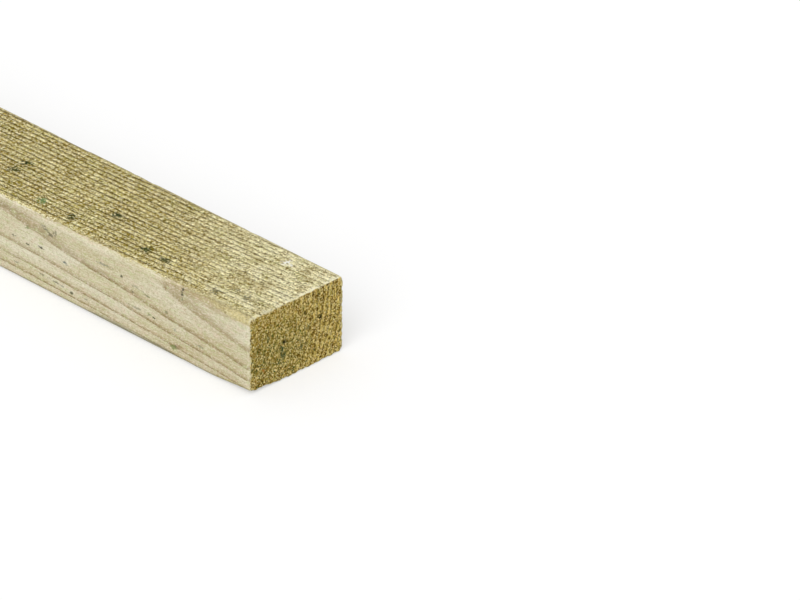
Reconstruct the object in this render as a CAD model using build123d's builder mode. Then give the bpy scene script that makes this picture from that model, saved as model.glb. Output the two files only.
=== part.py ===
from build123d import *
import os

# Timber stud: one stick of sawn, treated softwood that lies on one of its wide faces.
# Sizes are in millimetres. X runs along the stick, Y across its width and Z up.
# The origin is on the face it rests on, at mid length and mid width.

length = 1800.0
width = 75.0
thickness = 50.0

# The planer takes the sharpness off the four long edges (the arrises).
arris_radius = 3.5

# The cross-cut ends keep a crisp edge, bruised back by a fraction of a millimetre.
end_bevel = 0.6

os.makedirs("parts", exist_ok=True)

with BuildPart() as stud:
    # The cross-section stands on the ground plane and is drawn out both ways from mid length.
    with BuildSketch(Plane.YZ) as section:
        with Locations((0, thickness / 2)):
            RectangleRounded(width, thickness, arris_radius)
    extrude(amount=length / 2, both=True)

    sawn_ends = stud.faces().filter_by(Axis.X)
    chamfer(sawn_ends.edges(), end_bevel)

stud.part.label = "stud"
export_step(stud.part, "parts/stud.step")
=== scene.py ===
# %% [markdown]
# # A treated softwood stud
# One stick of pressure-treated timber, 50 x 75 mm, lying on a wide face. Four things make it look like the
# real one: growth rings that run through the whole stick, wide faces left rough by the saw, narrow faces
# planed smooth, and ends cut across the fibres. The rings are the root of the look, so they are worked out
# once, in three dimensions, and every face shows its own cut through them.

import math
from functools import partial

import bpy
import numpy as np
from mathutils import Matrix, Vector


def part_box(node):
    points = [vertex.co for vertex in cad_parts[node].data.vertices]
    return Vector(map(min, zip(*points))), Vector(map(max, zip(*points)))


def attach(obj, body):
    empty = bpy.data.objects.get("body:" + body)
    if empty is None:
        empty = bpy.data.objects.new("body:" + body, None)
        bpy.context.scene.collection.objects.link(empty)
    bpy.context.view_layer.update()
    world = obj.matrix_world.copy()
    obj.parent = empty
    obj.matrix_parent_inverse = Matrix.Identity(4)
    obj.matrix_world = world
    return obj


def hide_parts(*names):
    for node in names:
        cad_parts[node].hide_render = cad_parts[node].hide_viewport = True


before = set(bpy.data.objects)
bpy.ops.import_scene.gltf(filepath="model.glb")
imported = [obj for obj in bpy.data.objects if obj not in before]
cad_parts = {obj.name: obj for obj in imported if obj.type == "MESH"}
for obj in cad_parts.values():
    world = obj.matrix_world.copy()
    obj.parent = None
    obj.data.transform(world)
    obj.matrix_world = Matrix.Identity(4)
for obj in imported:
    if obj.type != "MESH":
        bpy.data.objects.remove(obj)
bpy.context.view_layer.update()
low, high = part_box("stud")
print("stud from", tuple(low), "to", tuple(high))

# %% [markdown]
# Sizes are kept in millimetres, as on a timber merchant's list, and turned into metres only when they reach
# Blender. The overall sizes come from the frame. The long edges (the arrises) were rounded by the planer.

# %% Sizes of the stick
MM = 0.001
length, width, thickness = [(b - a) / MM for a, b in zip(low, high)]
half_length, half_width = length / 2, width / 2
arris_radius = 3.5
end_bevel = 0.6
print(f"stick {length:.0f} x {width:.0f} x {thickness:.0f} mm")

# %% [markdown]
# Relief needs randomness that looks the same each run. This is value noise: random numbers on a grid of
# cells, blended smoothly in between. The size of a cell can differ along each axis, which is how wood is
# made: long along the grain, short across it.

# %% Smooth noise for the mesh
def smooth_noise(points, cell, seed):
    """Values from -1 to 1 that vary smoothly over cells of the given size along x, y and z."""
    at = np.asarray(points, float) / np.asarray(cell, float)
    corner = np.floor(at).astype(np.int64)
    part = at - corner
    part = part * part * (3 - 2 * part)
    total = np.zeros(len(at))
    for step in np.ndindex(2, 2, 2):
        key = (corner + step) * (73856093, 19349663, 83492791)
        mixed = (key[:, 0] ^ key[:, 1] ^ key[:, 2]) + seed * 2654435761
        mixed = ((mixed ^ (mixed >> 13)) * 1274126177) & 0xFFFFFFFF
        value = ((mixed ^ (mixed >> 16)) & 0xFFFF) / 32767.5 - 1
        share = np.where(step, part, 1 - part).prod(axis=1)
        total += value * share
    return total


def smooth_step(value, start, stop):
    """0 before start, 1 after stop, with a smooth rise between. It falls when start is above stop."""
    t = np.clip((value - start) / (stop - start), 0, 1)
    return t * t * (3 - 2 * t)


# %% [markdown]
# A tree grows outwards from its pith. This stick was sawn beside the pith: its centre line runs outside the
# planed front face, a little below the top, and leans slowly away from the stick. A point's ring is its
# distance from that line, counted in rings. On the wide faces the rings then read as close parallel lines,
# on the front face as a few broad bands that run out over the arris, and on the ends as steep columns.

# %% Where the pith runs
pith_depth_at_end = 52.15
pith_lean = 14.67
pith_lean_reach = 190.9
pith_height_at_end = 50.16
pith_drop = 3.43
first_ring_radius = 57.12
ring_width = 3.655

# The rings next to the front face are the widest. They narrow to the common width over this distance.
wide_ring_extra = 0.93
wide_ring_reach = 8.8

# The slow bend and the small wobble of the pith along the stick, each as size, wavelength and start, in mm.
depth_bend, depth_wobble = (4.0, 760.0, 330.0), (0.14, 86.8, -8.2)
height_bend, height_wobble = (5.0, 900.0, 60.0), (0.21, 115.9, -3.7)
# Good and bad years make the rings drift from their even count in the same way, by part of a ring.
good_years = (0.3, 75.0, 8.25)

# The distances in mm over which the bend, the drop of the pith and the drift come in.
bend_starts, pith_drops, drift_starts = (150.0, 500.0), (40.0, 300.0), (8.0, 22.0)


def wave(along, size, wavelength, start):
    return size * np.sin((along - start) * math.tau / wavelength)


def rings_at(points):
    """How many growth rings lie between the first one and each point (x, y, z in mm)."""
    along = half_length - points[:, 0]
    slow = smooth_step(along, *bend_starts)
    depth = pith_depth_at_end + pith_lean * (1 - np.exp(-along / pith_lean_reach))
    depth = depth + slow * wave(along, *depth_bend) + wave(along, *depth_wobble)
    height = pith_height_at_end - pith_drop * smooth_step(along, *pith_drops)
    height = height + slow * wave(along, *height_bend) + wave(along, *height_wobble)
    out = np.hypot(points[:, 1] + half_width + depth, points[:, 2] - height) - first_ring_radius
    drift = smooth_step(out, *drift_starts) * wave(out, *good_years)
    return out / ring_width - wide_ring_extra * (1 - np.exp(-out / wide_ring_reach)) + drift


# %% [markdown]
# The stick's skin is a grid: an outline round the section, repeated at stations along the length. The
# stations are close where the cut end gets looked at and wide apart in the middle, which keeps the whole
# piece under 200,000 triangles. Points on the arrises stand at equal angles, so the flats start exactly
# where the rounding ends.

# %% The outline round the section
cells_across_width = 54
cells_across_thickness = 34
cells_in_half_arris = 3


def arris_points(centre_y, centre_z, from_angle, to_angle, cells):
    """Points on the rounding of one long edge, without the last."""
    angles = np.radians(np.linspace(from_angle, to_angle, cells + 1)[:-1])
    return [(centre_y + arris_radius * math.cos(a), centre_z + arris_radius * math.sin(a)) for a in angles]


def flat_points(start, stop, cells):
    """Evenly spaced points on a flat, without the last."""
    return [tuple(np.add(start, np.subtract(stop, start) * i / cells)) for i in range(cells)]


inner_y = half_width - arris_radius
inner_low, inner_high = arris_radius, thickness - arris_radius
corners = [
    ((-inner_y, inner_high), 135.0),
    ((inner_y, inner_high), 45.0),
    ((inner_y, inner_low), -45.0),
    ((-inner_y, inner_low), -135.0),
]
outline = []
for side, ((y, z), middle) in enumerate(corners):
    next_y, next_z = corners[(side + 1) % 4][0]
    away = middle - 45.0
    cells = (cells_across_width, cells_across_thickness)[side % 2]
    reach = np.array([math.cos(math.radians(away)), math.sin(math.radians(away))]) * arris_radius
    outline += arris_points(y, z, middle, away, cells_in_half_arris)
    outline += flat_points((y, z) + reach, (next_y, next_z) + reach, cells)
    outline += arris_points(next_y, next_z, away, away - 45.0, cells_in_half_arris)
outline = np.array(outline)
print(len(outline), "points round the section")

# %% The stations along the length
# Distance from the end that gets looked at, and how far apart the stations are there, in mm.
station_spacing = [
    (0.0, 1.1), (60.0, 1.4), (260.0, 1.9), (420.0, 6.2), (1680.0, 6.2), (1760.0, 2.2), (1800.0, 1.1),
]
from_end, spacing_there = zip(*station_spacing)
stations = [end_bevel]
while stations[-1] < length - end_bevel:
    stations.append(stations[-1] + np.interp(stations[-1], from_end, spacing_there))
stations = np.array(stations)
stretch = (length - 2 * end_bevel) / (stations[-1] - end_bevel)
stations = end_bevel + (stations - end_bevel) * stretch
station_x = half_length - stations
print(len(stations), "stations along the length")

# %% [markdown]
# Now the skin is worn. Relief only ever goes inwards, so the stick never grows past its nominal size. The
# wide faces get what a band saw leaves: hard latewood standing proud of the soft earlywood, ribs straight
# across from each stroke of the blade, and slow waves. The planed faces are nearly flat. The arrises have
# small bruises, the rims of the cuts have lost fibres, and one lower corner is rubbed off.

# %% Relief of the long faces
rib_pitch = 4.0
sawn_depth = 0.34
planed_depth = 0.07
arris_depth, bruise_depth = 0.12, 0.5
rim_depth, rim_reach = 0.8, 3.0
rubbed_height, rubbed_reach = 2.0, 22.0


def latewood_bump(rings):
    """1 on the dense late part of a growth ring, 0 on the soft early part."""
    phase = rings - np.floor(rings)
    return smooth_step(phase, 0.5, 0.8) * smooth_step(phase, 1.0, 0.93)


def sawn_relief(points, spacing):
    """How far a rough-sawn face lies below its highest fibres, in mm."""
    ridges = latewood_bump(rings_at(points)) * (0.6 + 0.4 * smooth_noise(points, (25, 6, 6), 3))
    drift = 0.5 * smooth_noise(points, (60, 30, 30), 5)
    strokes = 0.5 + 0.5 * np.sin((points[:, 0] + 0.04 * points[:, 1] + drift) * math.tau / rib_pitch)
    strokes = strokes * np.clip(2.4 - spacing, 0, 1)
    slow = 0.5 + 0.5 * smooth_noise(points, (45, 25, 25), 7)
    fuzz = 0.5 + 0.5 * smooth_noise(points, (3.2, 1.3, 1.3), 9)
    return sawn_depth * (0.3 * (1 - ridges) + 0.2 * strokes + 0.25 * slow + 0.25 * fuzz)


def planed_relief(points):
    """The planer leaves the latewood a hair proud, and long shallow waves."""
    ridges = latewood_bump(rings_at(points))
    slow = 0.5 + 0.5 * smooth_noise(points, (80, 20, 20), 11)
    return planed_depth * (0.5 * (1 - ridges) + 0.5 * slow)


def arris_wear(points):
    """Bruises along the long edges, where the stick has been handled."""
    knocks = smooth_noise(points, (14, 5, 5), 13) + 0.6 * smooth_noise(points, (5, 3, 3), 15)
    return arris_depth + bruise_depth * np.clip(knocks - 0.25, 0, 1)


def rim_wear(points):
    """Fibres broken out along the edge of each cut."""
    from_end = half_length - np.abs(points[:, 0])
    broken = np.clip(0.5 + 0.9 * smooth_noise(points, (2.0, 1.3, 1.3), 17), 0, 1)
    return rim_depth * broken * smooth_step(from_end, rim_reach, 0.5)


def corner_lift(points):
    """How far one lower corner has been rubbed up off the floor, where the stick was dragged."""
    reach = np.linalg.norm((points - (half_length, -half_width, 0.0)) / (1.6, 1.4, 1), axis=1)
    low_down = smooth_step(points[:, 2], 14.0, 0.0)
    return rubbed_height * smooth_step(reach, rubbed_reach, 0.0) * low_down


# %% Wrap the long faces
ring_count, station_count = len(outline), len(stations)
y, z = outline[:, 0], outline[:, 1]
inward = np.stack([np.clip(y, -inner_y, inner_y) - y, np.clip(z, inner_low, inner_high) - z], 1)
inward /= np.linalg.norm(inward, axis=1, keepdims=True)
on_wide = smooth_step(np.abs(inward[:, 1]), 0.75, 0.98)
on_arris = smooth_step(np.minimum(np.abs(inward[:, 0]), np.abs(inward[:, 1])), 0.2, 0.6)

skin = np.empty((station_count, ring_count, 3))
skin[:, :, 0] = station_x[:, None]
skin[:, :, 1] = y
skin[:, :, 2] = z
skin = skin.reshape(-1, 3)
spacing = np.repeat(np.gradient(stations), ring_count)
wide = np.tile(on_wide, station_count)
arris = np.tile(on_arris, station_count)
sink = wide * sawn_relief(skin, spacing) + (1 - wide) * planed_relief(skin) + arris * arris_wear(skin)
sink += rim_wear(skin)
skin[:, 1:] += np.tile(inward, (station_count, 1)) * sink[:, None]
skin[:, 2] += corner_lift(skin)
print(f"skin sinks {sink.min():.2f} to {sink.max():.2f} mm")

# %% [markdown]
# The ends are cut straight across the fibres. Each end is a grid inside the outline: its four sides are
# quarters of the outline that meet in the middle of the arrises, and the points between are blended from
# them. Cut fibres stand up as a coarse nap that follows the rings, so the end is rougher than any other
# face, and the saw tears small notches in its rim.

# %% Close the two ends
across = cells_across_width + 2 * cells_in_half_arris
up = cells_across_thickness + 2 * cells_in_half_arris
end_depth = 0.75


def end_grid(rim):
    """A grid of points (up + 1, across + 1) inside a rim that starts at one corner and runs round."""
    top = rim[: across + 1]
    right = rim[across : across + up + 1]
    bottom = rim[across + up : 2 * across + up + 1][::-1]
    left = np.concatenate([rim[2 * across + up :], rim[:1]])[::-1]
    s = np.linspace(0, 1, across + 1)[None, :, None]
    t = np.linspace(0, 1, up + 1)[:, None, None]
    sides = (1 - t) * top[None] + t * bottom[None] + (1 - s) * left[:, None] + s * right[:, None]
    corner_blend = (1 - s) * (1 - t) * top[0] + s * (1 - t) * top[-1] + (1 - s) * t * bottom[0]
    return sides - corner_blend - s * t * bottom[-1]


def end_relief(points):
    """How far the nap of cut fibres lies below its highest tips, in mm."""
    nap = 0.5 + 0.5 * smooth_noise(points, (9, 1.5, 2.1), 21)
    coarse = 0.5 + 0.5 * smooth_noise(points, (9, 4.5, 6.0), 23)
    ridges = latewood_bump(rings_at(points))
    return end_depth * (0.45 * nap + 0.25 * coarse + 0.3 * (1 - ridges))


vertices = [skin]
faces = []
for i in range(station_count - 1):
    for j in range(ring_count):
        here, beside = i * ring_count + j, i * ring_count + (j + 1) % ring_count
        faces.append((here, beside, beside + ring_count, here + ring_count))

end_weight = [np.zeros(len(skin))]
start = len(skin)
for row, toward in ((0, 1), (station_count - 1, -1)):
    rim = skin[row * ring_count : (row + 1) * ring_count].copy()
    rim[:, 1:] += inward * end_bevel
    grid = end_grid(rim)
    cap = grid.reshape(-1, 3)
    cap[:, 0] = toward * half_length
    cap[:, 0] -= toward * end_relief(cap)
    index = start + np.arange(len(cap)).reshape(up + 1, across + 1)
    cells = np.stack([index[:-1, :-1], index[:-1, 1:], index[1:, 1:], index[1:, :-1]], -1).reshape(-1, 4)
    for a, b, c, d in cells.tolist():
        faces.append((a, d, c, b) if toward > 0 else (a, b, c, d))
    edge = np.concatenate([index[0, :-1], index[:-1, -1], index[-1, :0:-1], index[:0:-1, 0]])
    for j in range(ring_count):
        k = (j + 1) % ring_count
        here, beside = row * ring_count + j, row * ring_count + k
        quad = (edge[j], edge[k], beside, here)
        faces.append(quad if toward > 0 else quad[::-1])
    vertices.append(cap)
    end_weight.append(np.ones(len(cap)))
    start += len(cap)
vertices = np.concatenate(vertices)
print(len(vertices), "vertices,", 2 * len(faces), "triangles")

# %% Make the mesh
mesh = bpy.data.meshes.new("treated_stud")
mesh.from_pydata((vertices * MM).tolist(), [], faces)
mesh.polygons.foreach_set("use_smooth", [True] * len(mesh.polygons))
mesh.update()
stud = bpy.data.objects.new("treated_stud", mesh)
bpy.context.collection.objects.link(stud)
print("mesh valid:", not mesh.validate())

# %% [markdown]
# Treated timber is packed wet, and mould leaves small green-black marks on it. Those near the cut end are
# listed one by one. They could be painted on a picture that is wrapped round the stick, but a picture blurs
# when it is looked at closely. Instead each point of the mesh stores how far it is from its nearest mark,
# in units of that mark's own size. The shader then draws each mark crisply, however coarse the mesh is.

# %% Marks listed one by one
def paint(red, green, blue):
    """A colour as it looks on screen, 0 to 255, as Blender's linear colour."""
    screen = [c / 255 for c in (red, green, blue)]
    return (*[c / 12.92 if c <= 0.04045 else ((c + 0.055) / 1.055) ** 2.4 for c in screen], 1.0)


green_black, mould_grey, blue_grey = paint(44, 52, 26), paint(72, 74, 56), paint(70, 96, 96)
resin_brown, pale_fibre, copper_teal = paint(136, 104, 60), paint(248, 246, 238), paint(38, 72, 50)
# The pale yellow on the next line is a painted highlight, used on the front arris by the cut end.
knot_black, tar_orange, arris_highlight_yellow = paint(30, 24, 8), paint(196, 128, 62), paint(214, 198, 138)
moss_green, leaf_green = paint(118, 130, 74), paint(100, 132, 82)

# On the front face, for each colour: distance from the end, height, half length, half height, strength.
front_marks = {
    moss_green: [(182.9, 37.0, 1.9, 1.1, 0.7), (62.0, 7.2, 2.2, 1.2, 0.75)],
    mould_grey: [
        (170.5, 43.6, 1.7, 0.7, 0.6), (167.0, 41.8, 2.4, 0.8, 0.65), (163.0, 40.0, 2.2, 0.8, 0.6),
        (159.5, 43.0, 0.9, 1.3, 0.5), (195.0, 27.4, 1.6, 0.7, 0.7), (183.6, 25.9, 1.6, 0.7, 0.8),
        (171.7, 28.4, 2.2, 0.8, 0.9), (192.9, 10.3, 2.6, 0.8, 0.6), (171.4, 10.6, 2.4, 0.7, 0.65),
        (160.7, 10.1, 1.9, 0.6, 0.65), (155.0, 9.6, 1.4, 0.6, 0.6), (134.3, 9.1, 1.7, 0.6, 0.4),
        (93.6, 34.1, 3.0, 0.6, 0.35), (95.7, 29.9, 1.6, 0.7, 0.5), (83.6, 32.0, 2.8, 0.8, 0.6),
        (67.9, 27.7, 1.2, 0.7, 0.5), (93.5, 20.5, 5.4, 0.7, 0.45), (40.0, 16.3, 3.4, 0.7, 0.45),
        (60.4, 8.4, 1.0, 0.8, 0.7), (54.6, 45.6, 1.1, 3.8, 0.85),
    ],
    blue_grey: [
        (152.0, 26.3, 2.6, 1.0, 0.8), (119.0, 38.0, 4.6, 0.7, 0.45), (60.7, 18.9, 1.3, 0.8, 0.5),
    ],
    green_black: [
        (146.7, 8.4, 1.1, 0.9, 0.75), (104.6, 36.6, 1.0, 0.8, 0.8), (77.9, 19.6, 1.9, 0.8, 0.9),
    ],
    resin_brown: [(57.0, 9.4, 2.8, 0.9, 0.5), (68.6, 43.4, 1.0, 1.3, 0.5)],
    # A painted highlight on the upper front arris beside the cut end.
    arris_highlight_yellow: [(7.0, 47.8, 8.0, 2.6, 0.35)],
}
# On the top: distance from the end, place across, half length, half width, strength.
top_marks = {
    green_black: [
        (222.5, 0.0, 3.2, 2.7, 1.0), (222.5, -10.7, 3.2, 2.6, 1.0), (157.5, -26.8, 3.0, 2.6, 1.0),
        (140.8, -6.0, 3.2, 2.4, 0.95), (100.8, -22.7, 3.4, 2.3, 1.0), (83.3, -23.0, 3.2, 1.8, 0.9),
    ],
    leaf_green: [(183.8, -25.2, 2.7, 2.2, 0.85)],
    mould_grey: [
        (37.5, -28.0, 2.6, 2.2, 0.75), (20.8, -20.2, 2.4, 2.2, 0.6), (30.8, -18.5, 2.0, 1.6, 0.45),
    ],
    pale_fibre: [(32.8, 24.5, 1.9, 2.2, 1.0), (28.6, 23.6, 1.0, 1.1, 0.7)],
}
# On the cut end: place across, height, half width, half height, strength.
end_marks = {
    copper_teal: [
        (-11.5, 20.8, 1.5, 1.8, 0.95), (-10.6, 16.2, 2.0, 2.2, 0.7), (-13.4, 12.6, 1.2, 1.6, 0.8),
        (-22.4, 32.0, 1.6, 2.0, 0.5), (4.1, 15.8, 1.4, 1.6, 0.7), (9.1, 26.7, 1.2, 1.4, 0.4),
    ],
    knot_black: [(-9.9, 25.1, 1.2, 1.4, 1.0), (19.1, 29.8, 1.6, 1.5, 1.0), (6.9, 37.0, 1.2, 1.2, 0.9)],
    tar_orange: [(-26.2, 12.3, 1.0, 1.0, 0.8)],
}
# A mark is as thick as this through the face, in mm, so that relief does not lose it.
through = 3.0
far_away, furthest_stored = 1e9, 50.0
placed = [
    (front_marks, lambda a, b, c, d: ((half_length - a, -half_width, b), (c, through, d))),
    (top_marks, lambda a, b, c, d: ((half_length - a, b, thickness), (c, d, through))),
    (end_marks, lambda a, b, c, d: ((half_length, a, b), (through, c, d))),
]
marks = [
    (*centre_and_radii(*spot), strength, colour)
    for table, centre_and_radii in placed for colour, rows in table.items() for *spot, strength in rows
]

nearest = np.full(len(vertices), far_away)
offset, mark_colour = np.zeros((len(vertices), 3)), np.zeros((len(vertices), 4))
for centre, radii, strength, colour in marks:
    away = (vertices - centre) / radii
    distance = np.linalg.norm(away, axis=1)
    closer = distance < nearest
    nearest[closer], offset[closer] = distance[closer], away[closer]
    mark_colour[closer] = (*colour[:3], strength)


def store(name, kind, field, values):
    """Keeps one value per point on the mesh, where the material can read it by name."""
    mesh.attributes.new(name, kind, "POINT").data.foreach_set(field, np.ravel(values))


store("end_grain", "FLOAT", "value", np.concatenate(end_weight))
store("mark_offset", "FLOAT_VECTOR", "vector", offset)
store("mark_distance", "FLOAT", "value", np.minimum(nearest, furthest_stored))
store("mark_colour", "FLOAT_COLOR", "color", mark_colour)
print(len(marks), "marks placed,", int((nearest < 1).sum()), "mesh points inside them")

# %% [markdown]
# The finish is built from nodes. A few helpers keep the trees short to read: they add a node and plug
# values or other nodes' outputs into it, do sums, remap a value, mix colours and make noise. One of them
# lays coats of colour, because each finish is painted as a person would paint it: a ground colour first,
# then thin coats over it, each where some value says so.

# %% Helpers for node trees
def add(tree, kind, inputs=None, **settings):
    """Adds a node, with its settings and its inputs, which are values or outputs of other nodes."""
    made = tree.nodes.new(kind)
    for name, value in settings.items():
        setattr(made, name, value)
    for name, value in (inputs or {}).items():
        if isinstance(value, bpy.types.NodeSocket):
            tree.links.new(value, made.inputs[name])
        else:
            made.inputs[name].default_value = value
    return made


def calc(tree, operation, *values):
    """One sum. Returns its output."""
    return add(tree, "ShaderNodeMath", dict(enumerate(values)), operation=operation).outputs[0]


def vector_calc(tree, operation, *values):
    """One sum with vectors. Returns its output."""
    return add(tree, "ShaderNodeVectorMath", dict(enumerate(values)), operation=operation).outputs[0]


def scale_add(tree, value, factor, more):
    """value times factor, plus more."""
    return calc(tree, "MULTIPLY_ADD", value, factor, more)


def minus(tree, value, less):
    return calc(tree, "SUBTRACT", value, less)


def times(tree, *values):
    """The product of all the values."""
    product = values[0]
    for value in values[1:]:
        product = calc(tree, "MULTIPLY", product, value)
    return product


def axes(tree, vector):
    """The X, Y and Z of a vector."""
    return add(tree, "ShaderNodeSeparateXYZ", {0: vector}).outputs


def remap(tree, value, start, stop, low=0.0, high=1.0):
    """low where value has not reached start, high where it is past stop, with a smooth rise between."""
    inputs = {"Value": value, "From Min": start, "From Max": stop, "To Min": low, "To Max": high}
    return add(tree, "ShaderNodeMapRange", inputs, interpolation_type="SMOOTHSTEP").outputs["Result"]


def mix(tree, amount, first, second):
    """A colour between first and second."""
    return add(tree, "ShaderNodeMix", {0: amount, 6: first, 7: second}, data_type="RGBA").outputs[2]


def lay_coats(tree, colour, coats):
    """Lays coats over a colour and returns the result.

    A coat is a mask and its colour, or else a value, where on it the coat starts, where it is full, how
    strong it is there, and its colour.
    """
    for value, *steps, coat_colour in coats:
        if steps:
            start, full, strength = steps
            value = remap(tree, value, start, full, 0.0, strength)
        colour = mix(tree, value, colour, coat_colour)
    return colour


def grain_noise(tree, point, stretch, detail=2.0, rough=0.5, shift=0.0):
    """Noise from about 0 to 1, whose features are as long as stretch says along x, y and z, in mm."""
    scaled = vector_calc(tree, "DIVIDE", point, stretch)
    moved = vector_calc(tree, "ADD", scaled, (shift, shift * 1.7, shift * 2.3))
    inputs = {"Vector": moved, "Scale": 1.0, "Detail": detail, "Roughness": rough}
    return add(tree, "ShaderNodeTexNoise", inputs).outputs["Fac"]


def new_group(name, inputs, outputs):
    """An empty node group. Returns its tree and the outputs of its input node."""
    tree = bpy.data.node_groups.new(name, "ShaderNodeTree")
    for label, kind, *value in inputs:
        socket = tree.interface.new_socket(label, in_out="INPUT", socket_type=kind)
        if value:
            socket.default_value = value[0]
    for label, kind in outputs:
        tree.interface.new_socket(label, in_out="OUTPUT", socket_type=kind)
    return tree, tree.nodes.new("NodeGroupInput").outputs


def close_group(tree, *values):
    """Plugs the values into the group's outputs, in their order, and returns the finished group."""
    add(tree, "NodeGroupOutput", dict(enumerate(values)))
    print("made", tree.name)
    return tree


def place(tree, group, inputs):
    """Puts a group into a tree. Returns its outputs."""
    return add(tree, "ShaderNodeGroup", inputs, node_tree=group).outputs


VALUE, VECTOR, COLOUR = "NodeSocketFloat", "NodeSocketVector", "NodeSocketColor"

# %% [markdown]
# The ring group repeats the sum of `rings_at` in nodes, so that colour and relief agree. Its point is in
# millimetres. It puts out how far into its ring a point is, from 0 where growth starts in spring to 1 where
# it stops in autumn. Softwood darkens slowly through the summer and then stops at a crisp line.

# %% Node group: growth rings
def wave_node(tree, along, size, wavelength, start):
    """The sum of `wave` in nodes."""
    turn = times(tree, minus(tree, along, start), math.tau / wavelength)
    return times(tree, calc(tree, "SINE", turn), size)


def make_growth_rings():
    tree, given = new_group("growth rings", [("Point", VECTOR)], [("Phase", VALUE), ("Ring", VALUE)])
    xyz = axes(tree, given["Point"])
    along = minus(tree, half_length, xyz["X"])
    slow = remap(tree, along, *bend_starts)
    fade = calc(tree, "EXPONENT", calc(tree, "DIVIDE", along, -pith_lean_reach))
    depth = scale_add(tree, fade, -pith_lean, pith_depth_at_end + pith_lean + half_width)
    depth = scale_add(tree, slow, wave_node(tree, along, *depth_bend), depth)
    depth = calc(tree, "ADD", depth, wave_node(tree, along, *depth_wobble))
    dropped = remap(tree, along, *pith_drops, pith_height_at_end, pith_height_at_end - pith_drop)
    height = scale_add(tree, slow, wave_node(tree, along, *height_bend), dropped)
    height = calc(tree, "ADD", height, wave_node(tree, along, *height_wobble))
    away = calc(tree, "ADD", xyz["Y"], depth)
    above = minus(tree, xyz["Z"], height)
    radius = calc(tree, "SQRT", scale_add(tree, away, away, times(tree, above, above)))
    out = minus(tree, radius, first_ring_radius)
    narrowed = calc(tree, "EXPONENT", calc(tree, "DIVIDE", out, -wide_ring_reach))
    shift = scale_add(tree, narrowed, wide_ring_extra, -wide_ring_extra)
    even = scale_add(tree, out, 1 / ring_width, shift)
    drift = remap(tree, out, *drift_starts)
    even = scale_add(tree, drift, wave_node(tree, out, *good_years), even)

    # No ring is quite round, and the later ones are the least even.
    ripple = grain_noise(tree, given["Point"], (130.0, 10.0, 10.0))
    fine = grain_noise(tree, given["Point"], (14.0, 3.0, 3.0), detail=1.0, shift=3.3)
    wander = times(tree, minus(tree, ripple, 0.5), remap(tree, out, 6.0, 30.0, 0.12, 0.7))
    wander = scale_add(tree, minus(tree, fine, 0.5), 0.12, wander)
    ring = calc(tree, "ADD", wander, even)
    return close_group(tree, calc(tree, "FRACT", ring), ring)


growth_rings = make_growth_rings()

# %% [markdown]
# Mould leaves small green-black marks wherever treated timber stays damp in its pack, drawn out along the
# grain. Each mark is a cell of a Voronoi pattern, pushed about a little by noise so that no mark is round.
# Most cells stay empty, which keeps the marks scattered.

# %% Node group: mould marks
def make_mould():
    inputs = [("Point", VECTOR), ("Cell", VECTOR, (12.0, 6.0, 6.0))]
    inputs += [("Size", VALUE, 0.2), ("Share", VALUE, 0.3)]
    tree, given = new_group("mould marks", inputs, [("Mark", VALUE)])
    point = given["Point"]
    wobble = add(tree, "ShaderNodeTexNoise", {"Vector": point, "Scale": 0.9, "Detail": 2.0}).outputs["Color"]
    push = vector_calc(tree, "SUBTRACT", wobble, (0.5, 0.5, 0.5))
    moved = vector_calc(tree, "MULTIPLY_ADD", push, (3.0, 1.6, 1.6), point)
    cells = vector_calc(tree, "DIVIDE", moved, given["Cell"])
    found = add(tree, "ShaderNodeTexVoronoi", {"Vector": cells, "Scale": 1.0}).outputs
    lot = axes(tree, found["Color"])
    size = times(tree, given["Size"], scale_add(tree, lot["Y"], 0.8, 0.4))
    spot = remap(tree, calc(tree, "DIVIDE", found["Distance"], size), 1.0, 0.4)
    kept = calc(tree, "LESS_THAN", lot["X"], given["Share"])
    return close_group(tree, times(tree, spot, kept, scale_add(tree, lot["Z"], 0.6, 0.4)))


mould = make_mould()

# %% [markdown]
# Wherever the saw has cut or torn the wood, its fibres show in small bundles, and no two neighbours have the
# same tone. Smooth noise looks too even for that: its bright and dark spots keep a regular distance. The
# cells of a Voronoi pattern are irregular, and each draws its own lots, one for how light its bundle is and
# one for its hue.

# %% Node group: fibre bundles
def make_bundles():
    inputs = [("Point", VECTOR), ("Size", VECTOR, (2.0, 1.0, 1.0))]
    tree, given = new_group("fibre bundles", inputs, [("Light", VALUE), ("Hue", VALUE)])
    point = given["Point"]
    push = add(tree, "ShaderNodeTexNoise", {"Vector": point, "Scale": 0.45, "Detail": 1.0}).outputs["Color"]
    moved = vector_calc(tree, "MULTIPLY_ADD", push, (2.0, 2.0, 2.0), point)
    cells = vector_calc(tree, "DIVIDE", moved, given["Size"])
    lots = axes(tree, add(tree, "ShaderNodeTexVoronoi", {"Vector": cells, "Scale": 1.0}).outputs["Color"])
    return close_group(tree, lots["X"], lots["Y"])


bundles = make_bundles()

# %% [markdown]
# The planed face is the palest: clean cream wood with a touch of the treatment's green. Its latewood shows
# as soft brown bands, each fading in slowly on one side and stopping sharply on the other, and weather has
# brought them out near the ends. Over them lie fine streaks of fibre and slow patches of warmer and greener
# tone. Handling has soiled the front arris near the ends and left it clean further along. A grey band
# darkens the lower arrises, strongest within 140 mm of the end, and reaches higher between about 50 and 140
# mm from it.

# %% Node group: planed finish
cream, pale_cream, warm_cream = paint(204, 196, 161), paint(221, 215, 190), paint(205, 194, 163)
band_brown, line_brown, damp_tan = paint(178, 160, 118), paint(130, 108, 66), paint(184, 170, 132)
sap_pink, sap_green = paint(212, 191, 165), paint(192, 196, 144)
dull_streak, bright_streak = paint(172, 156, 112), paint(228, 222, 196)
bright_pore, dark_pore = paint(238, 232, 210), paint(156, 144, 100)
soil, arris_soil = paint(184, 168, 128), paint(176, 159, 122)
clean_white, low_band_grey = paint(234, 229, 210), paint(132, 128, 100)


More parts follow.
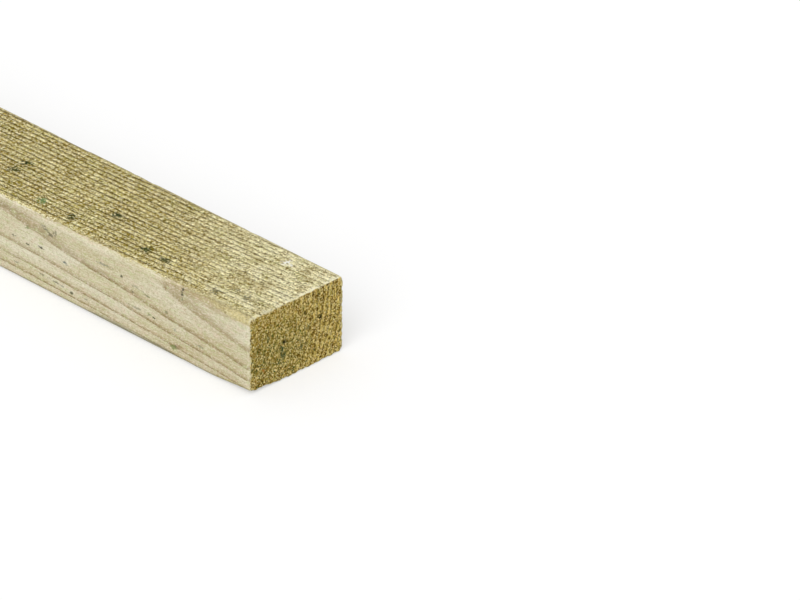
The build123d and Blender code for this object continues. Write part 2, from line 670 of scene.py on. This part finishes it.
def new_finish(name, *more):
    """An empty group for a finish. Returns its tree, its inputs, its point's X, Y and Z, and its noise."""
    outputs = [("Colour", COLOUR), ("Roughness", VALUE), ("Height", VALUE)]
    tree, given = new_group(name, [("Point", VECTOR), ("Phase", VALUE), *more], outputs)
    return tree, given, axes(tree, given["Point"]), partial(grain_noise, tree, given["Point"])


def from_cut_end(tree, xyz):
    """How far a point is from the nearer cut end, in mm."""
    return minus(tree, half_length, calc(tree, "ABSOLUTE", xyz["X"]))


def make_planed():
    tree, given, xyz, noise = new_finish("planed finish", ("Ring", VALUE))
    phase, ring = given["Phase"], given["Ring"]
    from_end = from_cut_end(tree, xyz)
    streaks = noise((18.0, 0.9, 0.9), rough=0.6)
    pores = noise((1.2, 0.6, 0.6), detail=1.0, shift=3.0)
    patches = noise((55.0, 14.0, 14.0), detail=1.0)
    tint = noise((34.0, 10.0, 10.0), detail=1.0, shift=7.0)
    fine_tint = noise((4.0, 1.3, 1.3), detail=1.0, shift=9.0)
    fading = noise((70.0, 9.0, 9.0), detail=1.0, shift=5.0)

    # The first ring is cut at such a shallow angle that only the last of its latewood shows as a band.
    stop = remap(tree, phase, 1.0, 0.94)
    band_start = remap(tree, ring, -0.05, 0.1, 0.68, 0.25)
    band = times(tree, remap(tree, phase, band_start, 0.93), stop)
    weathered = remap(tree, from_end, 130.0, 60.0)
    crisp = times(tree, remap(tree, ring, -0.1, 1.0, 0.3, 1.0), remap(tree, xyz["Z"], 44.0, 48.0, 1.0, 0.3))
    crisp = calc(tree, "MAXIMUM", crisp, times(tree, weathered, 0.55))
    line = times(tree, remap(tree, phase, 0.66, 0.95), stop, crisp)
    strength = calc(tree, "MAXIMUM", remap(tree, fading, 0.3, 0.7, 0.6, 1.0), times(tree, weathered, 0.9))
    soft = times(tree, strength, remap(tree, ring, -0.1, 0.3, 0.3, 0.55))
    soft = scale_add(tree, weathered, 0.15, soft)

    on_front = calc(tree, "LESS_THAN", xyz["Y"], 0.0)
    soiled = times(tree, remap(tree, from_end, 80.0, 50.0), remap(tree, from_end, 2.0, 22.0), on_front)
    arris = remap(tree, xyz["Z"], 43.0, 47.0)
    arris_soiled = times(tree, arris, scale_add(tree, soiled, 0.85, 0.05))
    arris_clean = times(tree, arris, remap(tree, from_end, 85.0, 130.0, 0.0, 0.45))
    damp = times(tree, remap(tree, ring, 1.0, 3.5), remap(tree, from_end, 170.0, 120.0, 0.0, 0.25))

    # A grey band darkens the lower arrises, and reaches higher between about 50 and 140 mm from the end.
    higher_stretch = times(tree, remap(tree, from_end, 50.0, 75.0), remap(tree, from_end, 140.0, 115.0))
    low_grey_band = remap(tree, scale_add(tree, higher_stretch, -2.0, xyz["Z"]), 3.0, 0.8)
    low_grey_band = times(tree, low_grey_band, remap(tree, tint, 0.35, 0.6, 0.3, 0.85))
    low_grey_band = times(tree, low_grey_band, remap(tree, from_end, 180.0, 140.0, 0.45, 1.0))

    colour = mix(tree, remap(tree, patches, 0.38, 0.62), cream, pale_cream)
    colour = lay_coats(tree, colour, [
        (tint, 0.45, 0.7, 0.45, warm_cream),
        (damp, damp_tan),
        (times(tree, soiled, 0.3), soil),
        (arris_soiled, arris_soil),
        (arris_clean, clean_white),
        (times(tree, band, soft), band_brown),
        (times(tree, line, strength), line_brown),
        (fine_tint, 0.52, 0.75, 0.65, sap_pink),
        (fine_tint, 0.48, 0.25, 0.65, sap_green),
        (streaks, 0.52, 0.3, 0.3, dull_streak),
        (streaks, 0.52, 0.7, 0.3, bright_streak),
        (pores, 0.5, 0.75, 0.5, bright_pore),
        (pores, 0.5, 0.25, 0.5, dark_pore),
        (low_grey_band, low_band_grey),
    ])

    height = scale_add(tree, streaks, 0.05, times(tree, band, 0.03))
    height = scale_add(tree, pores, 0.05, height)
    rough = scale_add(tree, line, -0.12, 0.68)
    return close_group(tree, colour, rough, height)


planed = make_planed()

# %% [markdown]
# The sawn face is darker and greener, because its torn fibres soak up the treatment. Its dark latewood
# lines run the whole length, but each stroke of the saw breaks them, so they read as rows of dashes. Pale
# and dark fibres lie over everything. Towards a cut end the wood dries first: it bleaches to cream in slow
# clouds, the ribs of the saw fade, and single fibres drop out and leave dark pits. The planer has rubbed
# the dashes along the arrises partly away, and the front arris is soiled near the ends.

# %% Node group: sawn finish
olive, dark_olive, bleached = paint(212, 197, 108), paint(187, 168, 80), paint(255, 248, 200)
warm_tan, cool_green, thread_brown = paint(202, 175, 112), paint(180, 176, 86), paint(112, 86, 0)
pale_thread, strand_brown, pale_strand = paint(250, 242, 196), paint(82, 60, 0), paint(255, 249, 204)
# Painted shade for the troughs of the saw's ribs and a painted highlight for their crests.
rib_shade, rib_highlight = paint(138, 114, 20), paint(240, 232, 186)
cloud_cream, cloud_brown = paint(255, 250, 216), paint(146, 124, 62)
ring_shade, dash_brown = paint(146, 120, 0), paint(56, 38, 0)
pit_brown, tip_cream = paint(76, 54, 0), paint(252, 245, 200)
rubbed_cream, trodden_brown = paint(226, 217, 176), paint(150, 134, 90)


def from_planed_face(tree, xyz):
    """How far a point is from the nearer planed face, in mm."""
    return minus(tree, half_width, calc(tree, "ABSOLUTE", xyz["Y"]))


def saw_stroke(tree, xyz, noise):
    """The ribs of the saw as waves along the stick, a close one and one of twice its pitch."""
    slip = noise((46.0, 60.0, 60.0), detail=1.0, shift=18.0)
    slant = scale_add(tree, xyz["Y"], 0.03, scale_add(tree, slip, 9.0, xyz["X"]))
    wide_rib = calc(tree, "SINE", times(tree, slant, math.tau / (2 * rib_pitch)))
    close_rib = calc(tree, "SINE", scale_add(tree, slant, math.tau / rib_pitch, 1.0))
    return scale_add(tree, close_rib, 0.32, times(tree, wide_rib, 0.18))


def make_sawn():
    tree, given, xyz, noise = new_finish("sawn finish")
    phase = given["Phase"]
    from_end, inside = from_cut_end(tree, xyz), from_planed_face(tree, xyz)
    drift = noise((30.0, 16.0, 16.0), shift=2.0)
    fibres = noise((1.0, 0.5, 0.5), detail=1.0)
    strands = place(tree, bundles, {"Point": given["Point"], "Size": (0.74, 0.52, 0.52)})
    threads = noise((14.0, 0.75, 0.75), rough=0.6, shift=21.0)
    chop = noise((3.6, 1.8, 1.8), rough=0.65, shift=8.0)
    stretches = noise((42.0, 5.0, 5.0), detail=1.0, shift=11.0)
    stains = noise((34.0, 15.0, 15.0), shift=4.0)
    warm = noise((11.0, 6.0, 6.0), detail=1.0, shift=14.0)
    clouds = noise((15.0, 8.0, 8.0), shift=27.0)

    # The last few centimetres before each end have dried out, the back more than the front.
    dry = scale_add(tree, drift, 50.0, from_end)
    dry = remap(tree, scale_add(tree, xyz["Y"], -1.5, dry), 155.0, 10.0)
    near = remap(tree, from_end, 120.0, 30.0)
    fewer_ribs = scale_add(tree, near, -0.6, 1.0)
    stroke = scale_add(tree, saw_stroke(tree, xyz, noise), fewer_ribs, 0.5)

    # The dashes are long in the middle of the stick, and short and patchy towards its ends.
    thin = scale_add(tree, near, 0.12, 0.56)
    line = times(tree, remap(tree, phase, thin, 0.84), remap(tree, phase, 1.0, 0.95))
    broken = scale_add(tree, near, -0.07, scale_add(tree, stroke, -0.14, chop))
    kept = times(tree, remap(tree, broken, 0.28, 0.42, 0.2, 1.0), remap(tree, inside, 1.0, 4.5, 0.35, 1.0))
    faint = scale_add(tree, near, -0.2, 0.75)
    dashes = times(tree, line, kept, remap(tree, stretches, 0.4, 0.58, faint, 1.0))
    wet = scale_add(tree, dry, -0.06, 0.9)
    shade = times(tree, remap(tree, phase, 0.25, 0.8, 0.0, 0.4), remap(tree, phase, 1.0, 0.94))
    shade = times(tree, shade, scale_add(tree, near, -0.25, wet))

    # Fewer fibres are dark where the wood is dry, so the dark ones stand sparse on a pale ground.
    thread_tone = scale_add(tree, dry, 0.04, threads)
    strand_tone = scale_add(tree, dry, 0.04, strands["Light"])
    pale_cloud = times(tree, remap(tree, clouds, 0.53, 0.68, 0.0, 0.32), near)
    dark_cloud = times(tree, remap(tree, clouds, 0.5, 0.36, 0.0, 0.38), near)
    pitted = times(tree, remap(tree, strands["Hue"], 0.16, 0.08), dry, 0.4)
    raised = times(tree, remap(tree, strands["Hue"], 0.84, 0.92), scale_add(tree, dry, 0.15, 0.4))
    rubbed = times(tree, remap(tree, inside, 5.0, 2.0), remap(tree, from_end, 30.0, 70.0, 0.35, 0.15))
    from_front = calc(tree, "ADD", half_width, xyz["Y"])
    trodden = times(tree, remap(tree, from_front, 7.0, 3.0), remap(tree, from_end, 90.0, 60.0, 0.0, 0.45))
    trodden = times(tree, trodden, remap(tree, clouds, 0.4, 0.56, 0.3, 1.0))

    colour = mix(tree, remap(tree, stains, 0.38, 0.62), olive, dark_olive)
    colour = lay_coats(tree, colour, [
        (dry, bleached),
        (warm, 0.52, 0.68, 0.4, warm_tan),
        (warm, 0.48, 0.32, 0.6, cool_green),
        (fibres, 0.5, 0.34, 0.3, thread_brown),
        (thread_tone, 0.5, 0.37, 0.8, thread_brown),
        (threads, 0.52, 0.68, 0.5, pale_thread),
        (strand_tone, 0.44, 0.16, 0.88, strand_brown),
        (strands["Light"], 0.56, 0.84, 0.9, pale_strand),
        # The saw's ribs: painted shade in their troughs and a painted highlight on their crests.
        (stroke, 0.5, 0.05, 0.3, rib_shade),
        (stroke, 0.75, 0.98, 0.18, rib_highlight),
        (pale_cloud, cloud_cream),
        (dark_cloud, cloud_brown),
        (shade, ring_shade),
        (times(tree, dashes, wet), dash_brown),
        (pitted, pit_brown),
        (raised, tip_cream),
        (rubbed, rubbed_cream),
        (trodden, trodden_brown),
    ])

    height = times(tree, line, 0.1)
    for value, depth in ((stroke, 0.1), (fibres, 0.1), (strands["Light"], 0.08)):
        height = scale_add(tree, value, depth, height)
    rough = scale_add(tree, fibres, 0.2, 0.75)
    return close_group(tree, colour, rough, height)


sawn = make_sawn()

# %% [markdown]
# On the end every fibre is cut across and drinks in the treatment, so it is the darkest face: mustard
# brown, with the rings as steep columns of dark dots between pale tufts of fibre. The columns show best at
# the back, where the rings stand most upright. Low down on the front side lie blue-green patches, where the
# copper in the treatment has gathered. The saw leaves the rim frayed and pale, and along the back edge the
# pale cut fibres carry a painted highlight on the bevel as well.

# %% Node group: end-grain finish
mustard, pale_mustard = paint(184, 160, 76), paint(238, 211, 112)
rust_mottle, green_mottle = paint(184, 142, 64), paint(168, 154, 70)
hollow_brown, dot_brown, tuft_brown = paint(98, 72, 0), paint(76, 52, 0), paint(90, 60, 0)
copper_wash, copper_speck, tuft_cream = paint(92, 100, 34), paint(38, 74, 34), paint(244, 227, 158)
# The back edge's pale colour is cut fibres and a painted highlight on the bevel.
frayed_cream, back_edge_fibre_and_highlight = paint(232, 222, 178), paint(226, 212, 142)

# Where the copper has gathered, as the middle and the reach across and up, in mm.
copper_across, copper_up = (-14.0, 30.0), (20.0, 24.0)


def make_end_grain():
    tree, given, xyz, noise = new_finish("end-grain finish")
    phase = given["Phase"]
    tufts = place(tree, bundles, {"Point": given["Point"], "Size": (9.0, 0.62, 0.66)})
    hollows = noise((9.0, 1.6, 2.0), detail=3.0, rough=0.8, shift=13.0)
    pits = noise((9.0, 1.6, 2.4), rough=0.7, shift=6.0)
    mottle = noise((20.0, 4.0, 5.0), detail=3.0, rough=0.7, shift=17.0)
    tone = noise((40.0, 18.0, 20.0), detail=1.0, shift=1.0)
    place_across = scale_add(tree, tone, 40.0, xyz["Y"])

    line = times(tree, remap(tree, phase, 0.35, 0.7), remap(tree, phase, 1.0, 0.88))
    line = times(tree, line, remap(tree, place_across, 0.0, 40.0, 0.3, 1.0))
    dots = times(tree, line, remap(tree, pits, 0.42, 0.54, 0.4, 0.8))

    squares = []
    for place_there, (middle, reach) in ((xyz["Y"], copper_across), (xyz["Z"], copper_up)):
        away = calc(tree, "DIVIDE", minus(tree, place_there, middle), reach)
        squares.append(times(tree, away, away))
    copper = remap(tree, calc(tree, "ADD", *squares), 1.1, 0.1, 0.08, 1.0)
    speck = scale_add(tree, copper, 0.18, tufts["Hue"])

    inset = calc(tree, "MINIMUM", from_planed_face(tree, xyz), minus(tree, thickness, xyz["Z"]))
    frayed = scale_add(tree, tufts["Hue"], 2.0, scale_add(tree, mottle, 8.0, inset))

    colour = mix(tree, remap(tree, place_across, -20.0, 55.0), mustard, pale_mustard)
    colour = lay_coats(tree, colour, [
        (mottle, 0.48, 0.6, 0.65, rust_mottle),
        (mottle, 0.48, 0.36, 0.5, green_mottle),
        (hollows, 0.52, 0.4, 0.64, hollow_brown),
        (dots, dot_brown),
        (tufts["Light"], 0.42, 0.0, 1.0, tuft_brown),
        (times(tree, copper, 0.15), copper_wash),
        (speck, 0.92, 0.99, 0.8, copper_speck),
        (tufts["Light"], 0.55, 1.0, 0.85, tuft_cream),
        (frayed, 6.4, 5.2, 0.85, frayed_cream),
        # Along the back edge of the cut: pale cut fibres and a painted highlight on the bevel.
        (xyz["Y"], half_width - 1.9, half_width - 1.0, 0.6, back_edge_fibre_and_highlight),
    ])

    height = scale_add(tree, hollows, 0.5, times(tree, tufts["Light"], 0.12))
    rough = scale_add(tree, pits, 0.1, 0.82)
    return close_group(tree, colour, rough, height)


end_grain = make_end_grain()

# %% [markdown]
# One material dresses the whole stick, because it is one piece of wood. It asks where it is: on the cut
# end, which the mesh marks with its own attribute, on a wide face, which is anything between the roundings,
# or else on a planed face. A little noise frays the borders between the finishes, and near the ends the
# sawn finish reaches a little way down the planed faces. The marks come last: first those listed one by one,
# which turn mossy in places on the sawn faces, then scattered ones on the rest of the stick. The heights
# of the three finishes feed one Bump node, in millimetres.

# %% The material
torn_cream, moss_tint, mould_black = paint(244, 238, 204), paint(104, 112, 56), paint(62, 66, 44)


def stored(tree, name):
    """The outputs for a value that the mesh stores under this name."""
    return add(tree, "ShaderNodeAttribute", attribute_name=name).outputs


def make_timber():
    material = bpy.data.materials.new("treated softwood")
    material.use_nodes = True
    tree = material.node_tree
    tree.nodes.clear()
    place_on = add(tree, "ShaderNodeTexCoord").outputs["Object"]
    point = vector_calc(tree, "MULTIPLY", place_on, (1 / MM, 1 / MM, 1 / MM))
    rings = place(tree, growth_rings, {"Point": point})
    here = {"Point": point, "Phase": rings["Phase"]}
    on_planed = place(tree, planed, {**here, "Ring": rings["Ring"]})
    on_sawn = place(tree, sawn, here)
    on_cut = place(tree, end_grain, here)

    # On a planed face the way in from its plane is 0, so the way down from the rounding takes over there.
    xyz = axes(tree, point)
    from_end = from_cut_end(tree, xyz)
    fray = grain_noise(tree, point, (3.0, 1.4, 1.4), detail=1.0, shift=12.0)
    from_middle = calc(tree, "ABSOLUTE", minus(tree, xyz["Z"], thickness / 2))
    below = calc(tree, "MINIMUM", minus(tree, from_middle, thickness / 2 - arris_radius), 0.0)
    reach = calc(tree, "ADD", remap(tree, from_end, 42.0, 12.0, 0.0, 2.5), below)
    inside = calc(tree, "ADD", from_planed_face(tree, xyz), reach)
    on_wide_face = remap(tree, scale_add(tree, fray, 3.0, inside), 2.8, 3.4)
    on_end = scale_add(tree, fray, 0.6, stored(tree, "end_grain")["Fac"])
    on_end = remap(tree, on_end, 0.7, 0.95)

    # Torn fibres along the edge of the cut, fewest at the front.
    ragged = grain_noise(tree, point, (60.0, 6.0, 6.0), detail=3.0, rough=0.7, shift=19.0)
    torn = scale_add(tree, ragged, 14.0, scale_add(tree, fray, 5.0, from_end))
    torn = times(tree, remap(tree, torn, 12.2, 9.6, 0.0, 0.9), remap(tree, on_wide_face, 0.0, 1.0, 0.3, 1.0))
    torn = times(tree, torn, remap(tree, xyz["Y"], -22.0, 8.0, 0.5, 1.0))

    # Between two marks the stored offsets cancel out, so the stored distance has a say as well.
    offset = stored(tree, "mark_offset")["Vector"]
    offset_length = add(tree, "ShaderNodeVectorMath", {0: offset}, operation="LENGTH").outputs["Value"]
    least = minus(tree, stored(tree, "mark_distance")["Fac"], 1.2)
    crumble = grain_noise(tree, point, (1.3, 1.0, 1.0), shift=15.0)
    border = calc(tree, "MAXIMUM", offset_length, least)
    border = scale_add(tree, minus(tree, fray, 0.5), 2.4, border)
    crumbling = remap(tree, on_wide_face, 0.0, 1.0, 2.6, 5.0)
    border = scale_add(tree, minus(tree, crumble, 0.5), crumbling, border)
    own = stored(tree, "mark_colour")
    drawn = times(tree, remap(tree, border, 1.25, 0.45), own["Alpha"])
    mossy = times(tree, remap(tree, crumble, 0.48, 0.62, 0.0, 0.6), on_wide_face)
    scattered = place(tree, mould, {"Point": point})["Mark"]

    colour = mix(tree, on_wide_face, on_planed["Colour"], on_sawn["Colour"])
    colour = lay_coats(tree, colour, [
        (torn, torn_cream),
        (on_end, on_cut["Colour"]),
        (drawn, mix(tree, mossy, own["Color"], moss_tint)),
        (times(tree, scattered, remap(tree, from_end, 220.0, 260.0, 0.0, 0.75)), mould_black),
    ])

    def choose(name):
        face = add(tree, "ShaderNodeMix", {0: on_wide_face, 2: on_planed[name], 3: on_sawn[name]}).outputs[0]
        return add(tree, "ShaderNodeMix", {0: on_end, 2: face, 3: on_cut[name]}).outputs[0]

    bump = add(tree, "ShaderNodeBump", {"Height": choose("Height"), "Distance": MM, "Strength": 1.0})
    inputs = {"Base Color": colour, "Roughness": choose("Roughness"), "Normal": bump.outputs[0]}
    shader = add(tree, "ShaderNodeBsdfPrincipled", {**inputs, "Specular IOR Level": 0.05})
    add(tree, "ShaderNodeOutputMaterial", {"Surface": shader.outputs[0]})
    return material


stud.data.materials.append(make_timber())
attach(stud, "root")
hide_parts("stud")
print("dressed", stud.name)

# %% [markdown]
# The stick lies on a plain white sweep. A real one is light grey card under strong light, and part of what
# the camera sees of it is glow. The floor copies that: it reflects as grey card to every ray, and to the
# camera, also in a reflection, it adds enough glow to read as white. The stick's shadow stays on it,
# softened by the glow.

# %% Floor
card_grey = 0.6
white_to_camera = 1.02
floor_reach = 60.0


def make_floor():
    material = bpy.data.materials.new("white floor")
    material.use_nodes = True
    tree = material.node_tree
    shader = tree.nodes["Principled BSDF"]
    rays = add(tree, "ShaderNodeLightPath").outputs
    mirrored = calc(tree, "MAXIMUM", rays["Is Glossy Ray"], rays["Is Transmission Ray"])
    seen = calc(tree, "MAXIMUM", rays["Is Camera Ray"], mirrored)
    shader.inputs["Base Color"].default_value = (card_grey, card_grey, card_grey, 1.0)
    shader.inputs["Emission Color"].default_value = (1.0, 1.0, 1.0, 1.0)
    tree.links.new(times(tree, seen, white_to_camera - card_grey), shader.inputs["Emission Strength"])
    shader.inputs["Roughness"].default_value = 0.9
    shader.inputs["Specular IOR Level"].default_value = 0.0
    corners = [(x * floor_reach, y * floor_reach, 0.0) for x, y in ((-1, -1), (1, -1), (1, 1), (-1, 1))]
    sheet = bpy.data.meshes.new("floor")
    sheet.from_pydata(corners, [], [(0, 1, 2, 3)])
    sheet.materials.append(material)
    floor = bpy.data.objects.new("floor", sheet)
    bpy.context.collection.objects.link(floor)
    return floor


floor = make_floor()
print("floor laid")

# %% [markdown]
# The light is an even sky from all round and one very soft key, high on the planed side. A sun lamp with a
# wide angle makes the key, because its light is the same over the whole length of a long stick. Together
# they give a level surface a light of 1, at which a colour looks as it is written. The planed side gets
# about the same, and the cut end a little less.

# %% Light
key_from = Vector((0.36, -0.68, 0.64))
sky_level = 0.62
key_level = 0.6
key_spread = 50.0

world = bpy.data.worlds.new("sky")
bpy.context.scene.world = world
world.use_nodes = True
sky = world.node_tree.nodes["Background"]
sky.inputs["Color"].default_value = (1.0, 1.0, 1.0, 1.0)
sky.inputs["Strength"].default_value = sky_level
lamp = bpy.data.lights.new("key", "SUN")
lamp.energy = key_level * math.pi
lamp.angle = math.radians(key_spread)
key = bpy.data.objects.new("key", lamp)
key.rotation_euler = key_from.to_track_quat("Z", "Y").to_euler()
bpy.context.collection.objects.link(key)
print(f"light on a level surface: {sky_level + key_level * key_from.normalized().z:.2f}")

# %% [markdown]
# The picture was taken from far off through a long lens, so parallel edges stay nearly parallel. The camera
# looks at the stick from 44 degrees round and 30 degrees up. It aims beside the cut end, which puts that
# end left of the middle and lets the rest of the stick run out of the picture.

# %% Camera
azimuth, elevation, roll = (math.radians(a) for a in (44.45, 29.64, 0.51))
distance = 5.129
aim_right, aim_up = 0.0589, 0.0420
photo_width = 800
focal_pixels = 9000.0

level_right = Vector((math.cos(azimuth), math.sin(azimuth), 0.0))
level_back = Vector((math.sin(azimuth), -math.cos(azimuth), 0.0))
back = level_back * math.cos(elevation) + Vector((0.0, 0.0, math.sin(elevation)))
level_up = back.cross(level_right)
right = level_right * math.cos(roll) + level_up * math.sin(roll)
above = level_up * math.cos(roll) - level_right * math.sin(roll)
end_foot = Vector((high[0], 0.0, 0.0))
aim = end_foot + right * aim_right + above * aim_up

lens = bpy.data.cameras.new("camera")
lens.sensor_width = 36.0
lens.lens = focal_pixels / photo_width * lens.sensor_width
lens.clip_end = 100.0
camera = bpy.data.objects.new("camera", lens)
turned = Matrix((right, above, back)).transposed().to_4x4()
camera.matrix_world = Matrix.Translation(aim + back * distance) @ turned
bpy.context.collection.objects.link(camera)
bpy.context.scene.camera = camera
bpy.context.scene.view_settings.view_transform = "Standard"
print(f"lens {lens.lens:.0f} mm at {distance:.2f} m")
